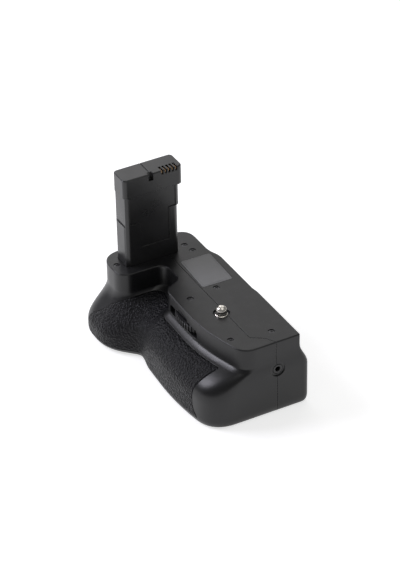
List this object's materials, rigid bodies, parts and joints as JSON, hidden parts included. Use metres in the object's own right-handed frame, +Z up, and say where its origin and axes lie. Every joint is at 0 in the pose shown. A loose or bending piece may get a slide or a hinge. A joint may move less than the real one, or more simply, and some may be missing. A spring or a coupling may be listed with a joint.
{
  "type": "camera battery grip",
  "caption": "Battery grip that screws under a camera: a plug-in tower for the battery well, a thumbwheel-driven tripod stud, a rubber hand grip, a shutter button and a rear battery bay.",
  "frame": {"origin": "on the axis of the stud and the tripod socket, at the base plane", "axes": "+Z up along the stud, +X along the length to the jack end, +Y to the rear with the battery door"},
  "size_m": [0.1299, 0.0796, 0.105],
  "materials": {
    "case_plastic": "fine-grained matte moulding",
    "base_plastic": "fine-grained matte moulding",
    "grip_rubber": "leather-grained rubber",
    "tower_plastic": "smooth matte moulding",
    "label_grey": "satin printed foil, blank",
    "wheel_plastic": "ribbed moulding",
    "inner_plastic": "moulded",
    "jack_plastic": "moulded",
    "screw_steel": "blackened or plain steel",
    "plate_steel": "stamped sheet",
    "stud_nickel": "polished nickel plate",
    "brass": "turned",
    "contact_metal": "plated spring blades",
    "board_green": "solder mask",
    "control_metal": "satin"
  },
  "bodies": {
    "case": {"front_shell": "case_plastic", "rear_shell": "case_plastic", "base_plate": "base_plastic", "grip_pad": "grip_rubber", "battery_tower": "tower_plastic", "tower_cap": "tower_plastic", "label_plate": "label_grey", "battery_bay": "inner_plastic", "bay_roof": "inner_plastic", "door_frame": "inner_plastic", "wheel_carrier": "inner_plastic", "shutter_housing": "inner_plastic", "cable_jack": "jack_plastic", "base_screws": "screw_steel", "case_screws": "screw_steel", "carrier_screws": "screw_steel", "board_screws": "screw_steel", "wheel_axle": "screw_steel", "hinge_pin": "screw_steel", "jack_nut": "screw_steel", "shutter_spring": "screw_steel", "gear_plate": "plate_steel", "jack_bracket": "plate_steel", "stud_bush": "plate_steel", "shutter_switch": "plate_steel", "tripod_socket": "brass", "tower_contacts": "contact_metal", "battery_contacts": "contact_metal", "main_board": "board_green", "switch_board": "board_green"},
    "wheel": {"thumbwheel": "wheel_plastic"},
    "stud": {"tripod_stud": "stud_nickel", "stud_gear": "brass"},
    "door": {"battery_door": "case_plastic"},
    "latch": {"door_latch": "wheel_plastic"},
    "ring": {"lock_ring": "control_metal"},
    "button": {"shutter_button": "control_metal"}
  },
  "joints": [
    {"name": "wheel_spin", "type": "hinge", "parent": "case", "child": "wheel", "pos_m": [-0.015, 0.0024, 0.0378], "axis": [0, 0, 1], "continuous": true},
    {"name": "stud_spin", "type": "hinge", "parent": "case", "child": "stud", "pos_m": [0, 0, 0.045], "axis": [0, 0, 1], "continuous": true},
    {"name": "door_hinge", "type": "hinge", "parent": "case", "child": "door", "pos_m": [-0.0083, 0.0316, 0.0062], "axis": [-1, 0, 0], "range_deg": [0, 95]},
    {"name": "latch_slide", "type": "slide", "parent": "door", "child": "latch", "axis": [1, 0, 0], "range_m": [0, 0.004]},
    {"name": "ring_turn", "type": "hinge", "parent": "case", "child": "ring", "pos_m": [-0.0874, -0.018, 0.018], "axis": [-1, 0, 0], "range_deg": [0, 40]},
    {"name": "shutter_press", "type": "slide", "parent": "case", "child": "button", "axis": [1, 0, 0], "range_m": [0, 0.001], "stiffness_N_per_m": 400, "springref_m": -0.0005, "deforming": ["shutter_spring"]}
  ],
  "couplings": [
    {"joint": "stud_spin", "follows": "wheel_spin", "ratio": -1}
  ]
}
